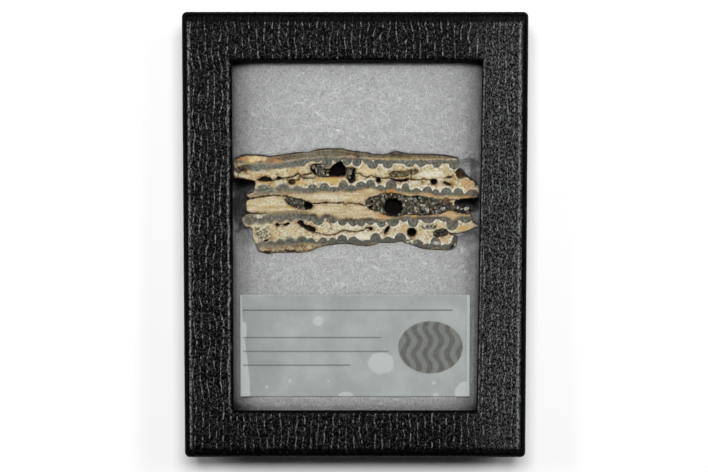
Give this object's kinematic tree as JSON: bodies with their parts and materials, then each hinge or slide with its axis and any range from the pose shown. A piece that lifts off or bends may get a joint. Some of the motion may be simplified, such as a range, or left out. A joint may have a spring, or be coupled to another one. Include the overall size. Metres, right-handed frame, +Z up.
{
  "type": "boxed mammoth molar slice",
  "caption": "Sawn and polished slice of fossil mammoth molar, held on fibre batting under the glass of a small black display case, above a blank label.",
  "frame": {"origin": "on the surface that the case lies on, under the middle of the case", "axes": "+Z up, out of the window; +Y towards the case's top edge, away from the label; +X to the right seen from the front"},
  "size_m": [0.083, 0.108, 0.019],
  "materials": {
    "lid": "black leather-grain paper on card, satin",
    "glass_pane": "clear",
    "tray": "black leather-grain paper on card, satin",
    "batting": "white polyester fibre, pressed flat",
    "label": "thin translucent label, matt",
    "molar_slice": "polished face, worn sides",
    "mineral_crust": "rough crystals"
  },
  "bodies": {
    "root": {"lid": "lid", "glass_pane": "glass_pane", "tray": "tray", "batting": "batting", "label": "label", "molar_slice": "molar_slice", "crust_great": "mineral_crust", "crust_lower_right": "mineral_crust", "crust_middle_left": "mineral_crust", "crust_tongue": "mineral_crust", "crust_upper_left": "mineral_crust", "crust_upper_right": "mineral_crust"}
  },
  "joints": []
}
